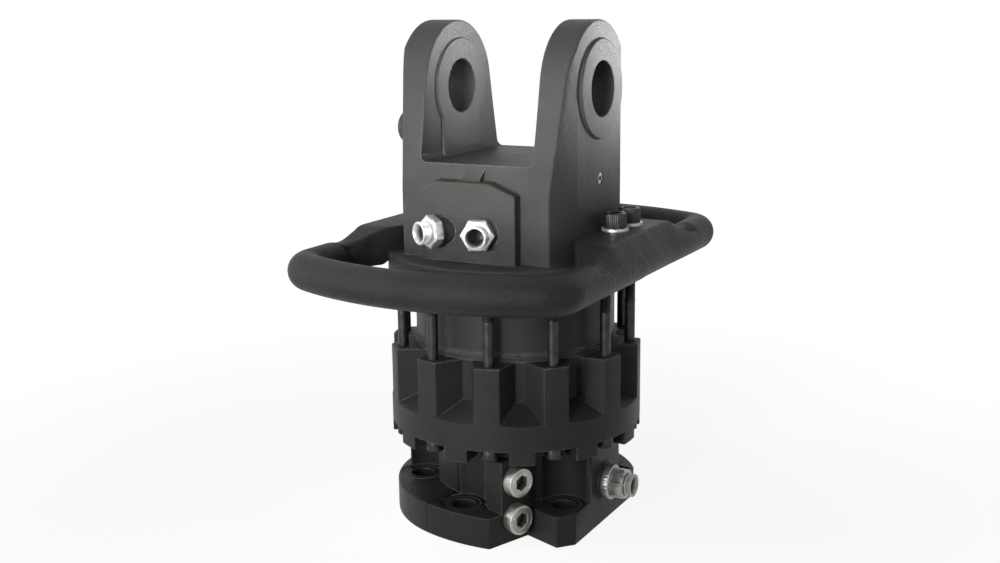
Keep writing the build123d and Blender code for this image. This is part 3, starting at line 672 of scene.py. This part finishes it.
def guard_path(count):
    """Centre line in plan from the middle of the right side to the middle of the front, with outward normals:
    a straight side, an arc about the corner and a flat arc across the front that touches it."""
    cx, cy, cr = CORNER
    rise = REACH + cy
    flat = (cx ** 2 + rise ** 2 - cr ** 2) / (2 * (rise - cr))
    middle = flat - REACH
    touch = math.atan2(cy - middle, cx)
    side = np.linspace(0, cy, count)
    bend = np.linspace(0, touch, count // 3)[1:]
    bow = np.linspace(touch, -np.pi / 2, count // 2)[1:]
    plan = np.concatenate([
        np.stack([np.full(count, SIDE_X), side], axis=1),
        np.stack([cx + (cr - BAR) * np.cos(bend), cy + (cr - BAR) * np.sin(bend)], axis=1),
        np.stack([(flat - BAR) * np.cos(bow), middle + (flat - BAR) * np.sin(bow)], axis=1),
    ])
    out = np.concatenate([
        np.tile([[1.0, 0.0]], (count, 1)),
        np.stack([np.cos(bend), np.sin(bend)], axis=1),
        np.stack([np.cos(bow), np.sin(bow)], axis=1),
    ])
    return plan, out


def arc_part(s, z, radius, low, high, count):
    """Points of an arc in the section, for every station at once, from one angle to another."""
    share = np.linspace(0, 1, count)[None]
    angle = np.radians(low + (high - low) * share)
    return np.stack([s + radius * np.cos(angle), z + radius * np.sin(angle)], axis=-1)


def lug_sections(along):
    """Section of the side at a distance from its middle, as offset from the centre line and height: the bar's
    outer arc, a leaning face, a rounded top edge, the inner face beside the head, and an underside that lies
    on the disc and stands off its rim. Towards its end the lug's inner face draws back, its top falls and its
    underside drops, each by a smooth step of the distance or in proportion to it."""
    t = along[:, None]
    inner = LUG_SIDE + INNER_BACK[0] * smooth_share(t, *INNER_BACK[1:]) - SIDE_X
    fall, low, high = TOP_FALL
    top = LUG_TOP - TOP_STEP[0] * smooth_share(t, *TOP_STEP[1:]) - fall * np.clip((t - low) / (high - low), 0, 1)
    under = LUG_UNDER - UNDER_DROP[0] * smooth_share(t, *UNDER_DROP[1:])
    rim = np.sqrt(np.maximum(RIM_REACH ** 2 - t ** 2, 0)) - SIDE_X
    drop = np.sqrt(np.maximum(BAR ** 2 - np.minimum(under - BAR_HEIGHT, 0) ** 2, 0))
    cut = np.maximum(rim, -drop)
    foot = np.where(under > BAR_HEIGHT, BAR_HEIGHT - np.sqrt(np.maximum(BAR ** 2 - cut ** 2, 0)), under)
    start = np.degrees(np.arctan2(foot - BAR_HEIGHT, cut)) % 360 - 360
    edge = LUG_EDGE - SIDE_X - 3.5
    share = np.linspace(0, 1, 7)[None, 1:]
    sill = np.stack([inner + SILL_ROUND + (cut - inner - SILL_ROUND) * share, under + 0 * share], axis=-1)
    step = np.stack([cut + 0 * share, under + (foot - under) * share], axis=-1)[:, :-1]
    return np.concatenate([
        arc_part(0 * t, BAR_HEIGHT, BAR, start, 30.0, 22),
        arc_part(edge + 0 * t, top - EDGE_ROUND, EDGE_ROUND, 32.0, 90.0, 8),
        arc_part(inner + INNER_ROUND, top - INNER_ROUND, INNER_ROUND, 90.0, 180.0, 7),
        arc_part(inner + SILL_ROUND, under + SILL_ROUND, SILL_ROUND, 180.0, 270.0, 5),
        sill,
        step,
    ], axis=1)


def bar_sections(count):
    """The round bar's section with as many points as a lug's, spread alike."""
    spans = ((-152, 28, 22), (33, 68, 8), (74, 118, 7), (126, 160, 5), (165, 188, 6), (192, 203, 5))
    angle = np.radians(np.concatenate([np.linspace(*span) for span in spans]))
    ring = np.stack([BAR * np.cos(angle), BAR_HEIGHT + BAR * np.sin(angle)], axis=-1)
    return np.tile(ring[None], (count, 1, 1))


def guard_grid():
    """Round bar and lugs as one closed grid: each ring is a mix of the lug's section and the bar's, by a
    smooth step of the distance along the side, carried along the centre line. The loop is one quarter and its
    three mirror images. A shallow leaning step marks where the rear right arm was joined."""
    plan, out = guard_path(SIDE_POINTS)
    along = np.abs(plan[:, 1])
    lug = 1 - smooth_share(along, *LUG_FADE)
    lug[np.abs(plan[:, 0] - SIDE_X) > 0.01] = 0
    lug = lug[:, None, None]
    section = bar_sections(len(plan)) * (1 - lug) + lug_sections(along) * lug
    s, z = section[..., 0], section[..., 1]
    quarter = np.stack([plan[:, :1] + out[:, :1] * s, plan[:, 1:] + out[:, 1:] * s, z], axis=-1)
    left = quarter[::-1] * (-1, 1, 1)
    half = np.concatenate([quarter, left[1:]])
    loop = np.concatenate([half, (half[::-1] * (1, -1, 1))[1:-1]])
    x, y, height = loop[..., 0], loop[..., 1], loop[..., 2]
    joint = JOINT_PLACE + (JOINT_HEIGHT - height) * JOINT_LEAN
    behind = smooth_share(y, joint - JOINT_HALF, joint + JOINT_HALF) * (1 - smooth_share(y, *JOINT_FADE))
    outer = (x > SIDE_X) & (height > JOINT_LOW)
    loop[..., 0] = x - np.where(outer, JOINT_DEPTH * behind, 0)
    return loop


dressed_node("head_casting", "cast_black", "stator", HEAD_ROUND, joined=True, spared=HEAD_CRISP,
             change=slim_bosses)
dressed_node("crown_housing", "crown_black", "stator", CAST_ROUND)
dressed_node("rotor_flange", "flange_black", "rotor", FLANGE_ROUND)
surface_piece("guard_surface", [guard_grid()], "guard_black", "stator", replaced="guard_ring", loop_rows=True)


def stud_rows(tube_end):
    """Male stud fitting from its bore's floor round the coned mouth, thread, hexagon and shank."""
    hex_low, hex_high = 0.6, 10.8
    return [
        (-12, 0), (-12, 6.5), (tube_end - 6, 6.5), (tube_end - 0.3, 8.6), (tube_end, 8.9), (tube_end, 9.5),
        *thread_rows(hex_high + 1.2, tube_end - 0.6, 10.6)[::-1],
        (hex_high + 1.2, 9.7), (hex_high, 9.7), (hex_high, 12.6), (hex_high - 0.2, 13.0),
        (hex_high - 1.5, 15.6, 13.5), (hex_low + 1.5, 15.6, 13.5), (hex_low + 0.2, 13.2), (hex_low, 13.0),
        (hex_low, 10.4), (-13, 10.4), (-13, 0),
    ]


for name, crossing, turn, rise, tip in PORTS:
    way, across = level(turn)
    seat = np.array([crossing, PAD_Y, PORT_Z]) + way * rise
    grid = turned(seat, way, tipped(across, way, tip), stud_rows(20.3), columns=96)
    surface_piece(name + "_turned", [grid], "bright_zinc", "stator", replaced=name, inner_rows=3)


def plug_rows():
    """Collared plug: socket floor, six flats, a grooved face, a rounded rim and the shank."""
    return [
        (3, 0), (3, 7.5, 6.5), (10.7, 7.5, 6.5), (11, 7.9, 6.8), (11, 10.6), (10.7, 10.8), (10.7, 11.2),
        (11, 11.4), (11, 12.8), (10.7, 13.5), (10.0, 14.0), (9.2, 14.2), (1.0, 14.2), (0.3, 13.9), (0, 13.2),
        (0, 10), (-14, 10), (-14, 0),
    ]


# The two plugs stand off the left face of the flange's notch, which runs from its apex to its corner
apex, corner = np.array([50.6, -75.7, 0]), np.array([33.8, -120.0, 0])
run = (corner - apex) / np.linalg.norm(corner - apex)
plug_way = np.cross(run, (0, 0, -1))
for name, height in (("flange_plug_upper", 59.6), ("flange_plug_lower", 23.4)):
    seat = apex + run * 16.6 + (0, 0, height)
    grid = turned(seat, plug_way, tipped(UP, plug_way, 30), plug_rows(), columns=96)
    surface_piece(name + "_turned", [grid], "yellow_zinc", "rotor", replaced=name, inner_rows=2)


def outlet_rows():
    """Outlet adapter: coned mouth, threaded end, hexagon, slotted ring nut and shank."""
    return [
        (-12, 0), (-12, 7.0), (24, 7.0), (28.4, 8.9), (28.6, 9.2), (28.6, 10.0),
        *thread_rows(22.4, 28.2, 11.0, depth=1.0)[::-1],
        (22.4, 9.9), (21.4, 9.9), (21.4, 12.4), (21.2, 13.0), (19.8, 15.6, 13.5), (10.6, 15.6, 13.5),
        (9.2, 13.2), (8.4, 13.0), (8.0, 13.0), (8.0, 15.6), (7.4, 16.4, 0, 0, 0.2), (6.8, 16.8, 0, 0, 0.5),
        (1.4, 16.8, 0, 0, 0.5), (0.6, 16.2, 0, 0, 0.2), (0, 15.8), (0, 10.4), (-13, 10.4), (-13, 0),
    ]


REAR_TURN = 210.0
for name, seat, turn in (
        ("outlet_adapter_front", (102.3, -11.0, 41.0), 90.0),
        ("outlet_adapter_rear", level(REAR_TURN)[0] * 106.0 + (0, 0, 51.0), REAR_TURN)):
    way, across = level(turn)
    grid = turned(seat, way, tipped(across, way, 12), outlet_rows(), columns=144, knurls=30)
    surface_piece(name + "_turned", [grid], "pale_zinc", "rotor", replaced=name, inner_rows=3)


def socket_screw_rows(seat, radius, height, shank, length, half, knurl):
    """Socket screw: hexagon socket, rounded rim, knurled head, then shank with its end chamfered."""
    corner = half / math.cos(math.pi / 6)
    return [
        (seat + height / 2, 0), (seat + height / 2, corner, half), (seat + height - 0.5, corner, half),
        (seat + height, corner + 0.7, half + 0.5), (seat + height, radius - 1.6),
        (seat + height - 0.5, radius - 0.6), (seat + height - 1.3, radius, 0, 0, knurl),
        (seat + 1.0, radius, 0, 0, knurl), (seat + 0.3, radius - 0.3), (seat, radius - 0.8), (seat, shank),
        (seat - length + 1, shank), (seat - length, shank - 1), (seat - length, 0),
    ]


# Guard screws: two on each lug, each turned a little further, with heads that stand on their washers
screw_rows = socket_screw_rows(seat=284.5, radius=10.5, height=14.0, shank=7.0, length=35.0, half=6.0,
                               knurl=0.45)
screws = [
    turned((side * 104.0, y, 0), UP, tipped((1, 0, 0), UP, 13 * side + y), screw_rows, columns=160, knurls=40)
    for side in (-1, 1) for y in (1.0, 35.0)
]
surface_piece("guard_screws_turned", screws, "black_screw", "stator", replaced="guard_screws", sharp=30)

# Long bolts: the head hangs in the notch, the shank passes the crown and the thread starts under the disc
BOLT_COUNT = 12
bolt_rows = [
    (-5, 0), (-5, 4.6, 4.0), (-9.6, 4.6, 4.0), (-10, 5.2, 4.5), (-10, 6.8), (-9.2, 7.8),
    (-8.6, 8.0, 0, 0, 0.3), (-0.6, 8.0, 0, 0, 0.3), (0, 7.6), (0, 5.0), (118, 5.0),
    *thread_rows(118.0, 146.0, 5.3, depth=0.95, pitch=2.0, steps=5),
    (146, 5.0), (151, 4.6), (152.5, 3.6), (152.5, 0),
]
bolts = []
for index in range(BOLT_COUNT):
    way = level(15 + 360 // BOLT_COUNT * index)[0]
    seat = way * 111.7 + (0, 0, 92.5)
    bolts.append(turned(seat, UP, tipped(way, UP, 17 * index), bolt_rows, columns=36, pitch=2.0, knurls=18))
surface_piece("long_bolts_turned", bolts, "black_screw", "stator", replaced="long_bolts", sharp=40)


def add_floor():
    """Pale floor that keeps the soft shadow. Camera, gloss and glass see it brighter, and pure white far out,
    so that no horizon shows."""
    mesh = bpy.data.meshes.new("floor")
    corners = [(x * FLOOR_HALF, y * FLOOR_HALF, 0) for x, y in ((-1, -1), (1, -1), (1, 1), (-1, 1))]
    mesh.from_pydata(corners, [], [(0, 1, 2, 3)])
    floor = bpy.data.objects.new("floor", mesh)
    scene.collection.objects.link(floor)
    material, build, shader = new_material("floor_pale")
    shader.inputs["Base Color"].default_value = (*FLOOR_TONE, 1)
    shader.inputs["Roughness"].default_value = 0.9
    shader.inputs["Specular IOR Level"].default_value = 0.0
    away = build.add("ShaderNodeVectorMath", operation="LENGTH")
    build.join(build.add("ShaderNodeTexCoord").outputs["Object"], away.inputs[0])
    glow = build.span(away.outputs["Value"], GLOW_FROM, GLOW_TO, GLOW_NEAR, 1.0)
    shader.inputs["Emission Color"].default_value = (1, 1, 1, 1)
    build.join(build.math("MULTIPLY", build.seen(), glow), shader.inputs["Emission Strength"])
    mesh.materials.append(material)


def add_world():
    """Even pale studio walls: white to the camera, to gloss and to glass, dimmer as a lamp."""
    world = bpy.data.worlds.new("studio")
    world.use_nodes = True
    scene.world = world
    build = Nodes(world.node_tree)
    background = world.node_tree.nodes["Background"]
    build.join(build.span(build.seen(), 0, 1, WALL_LIGHT, 1.0), background.inputs["Strength"])
    background.inputs["Color"].default_value = (1, 1, 1, 1)


add_floor()
add_world()
add_camera()
for lamp in LAMPS:
    add_lamp(*lamp)
